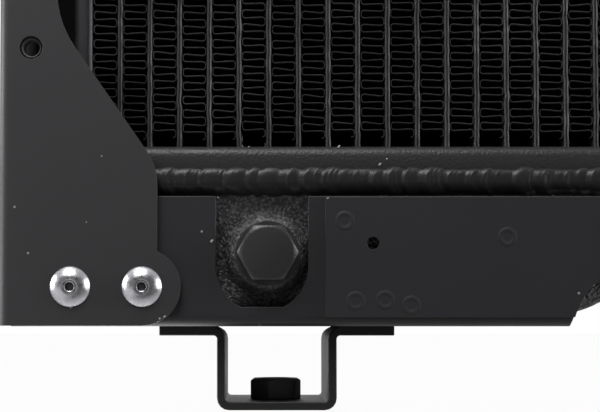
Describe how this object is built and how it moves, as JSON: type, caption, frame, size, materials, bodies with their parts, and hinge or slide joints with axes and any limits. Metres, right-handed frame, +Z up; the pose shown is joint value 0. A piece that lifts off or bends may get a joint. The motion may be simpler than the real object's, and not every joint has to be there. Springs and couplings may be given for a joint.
{
  "type": "hydraulic oil cooler",
  "caption": "Upright tube and fin oil cooler with cast end tanks in a riveted black sheet frame, with a screw-out drain plug, rear oil ports and bent mounting brackets underneath.",
  "frame": {"origin": "on the plane of the undersides of the two mounting brackets, midway between them and midway through the depth", "axes": "+Z up, +X to the right seen from the front, front at -Y"},
  "size_m": [0.4386, 0.0878, 0.527],
  "materials": {
    "side_frame": "satin charcoal paint on bent steel sheet",
    "channel": "satin black paint on bent steel sheet",
    "core": "thin black paint on brazed aluminium",
    "header": "satin black paint on aluminium plate",
    "cast_tank": "black paint on a rough sand casting",
    "weld": "painted rippled weld",
    "bracket": "black paint on bent steel strap",
    "black_steel": "blackened steel",
    "rivet_steel": "bright bare steel",
    "nut_steel": "plated steel",
    "seal": "dark bonded sealing washer"
  },
  "bodies": {
    "cooler": {"core_matrix": "core", "doubler_plate": "channel", "left_core_side_plate": "core", "left_mount_bracket": "bracket", "left_mount_nut": "bracket", "left_side_frame": "side_frame", "lower_cross_channel": "channel", "lower_header_plate": "header", "lower_tank": "cast_tank", "lower_weld_bead": "weld", "right_core_side_plate": "core", "right_mount_bracket": "bracket", "right_mount_nut": "bracket", "right_side_frame": "side_frame", "rivet_front_lower_left_inner": "rivet_steel", "rivet_front_lower_left_outer": "rivet_steel", "rivet_front_lower_right_inner": "rivet_steel", "rivet_front_lower_right_outer": "rivet_steel", "rivet_front_upper_left_inner": "rivet_steel", "rivet_front_upper_left_outer": "rivet_steel", "rivet_front_upper_right_inner": "rivet_steel", "rivet_front_upper_right_outer": "rivet_steel", "rivet_rear_lower_left_inner": "rivet_steel", "rivet_rear_lower_left_outer": "rivet_steel", "rivet_rear_lower_right_inner": "rivet_steel", "rivet_rear_lower_right_outer": "rivet_steel", "rivet_rear_upper_left_inner": "rivet_steel", "rivet_rear_upper_left_outer": "rivet_steel", "rivet_rear_upper_right_inner": "rivet_steel", "rivet_rear_upper_right_outer": "rivet_steel", "upper_cross_channel": "channel", "upper_header_plate": "header", "upper_tank": "cast_tank", "upper_weld_bead": "weld", "weld_nut_lower_left": "nut_steel", "weld_nut_lower_right": "nut_steel", "weld_nut_upper_left": "nut_steel", "weld_nut_upper_right": "nut_steel"},
    "plug_washer": {"drain_plug_washer": "seal"},
    "plug": {"drain_plug": "black_steel"}
  },
  "joints": [
    {"name": "plug_travel", "type": "slide", "parent": "cooler", "child": "plug_washer", "axis": [0, -1, 0], "range_m": [0, 0.016]},
    {"name": "plug_turn", "type": "hinge", "parent": "plug_washer", "child": "plug", "pos_m": [-0.1304, -0.0363, 0.0522], "axis": [0, -1, 0], "range_deg": [0, 3840]}
  ],
  "couplings": [
    {"joint": "plug_turn", "follows": "plug_travel", "rad_per_m": 4188.8}
  ]
}
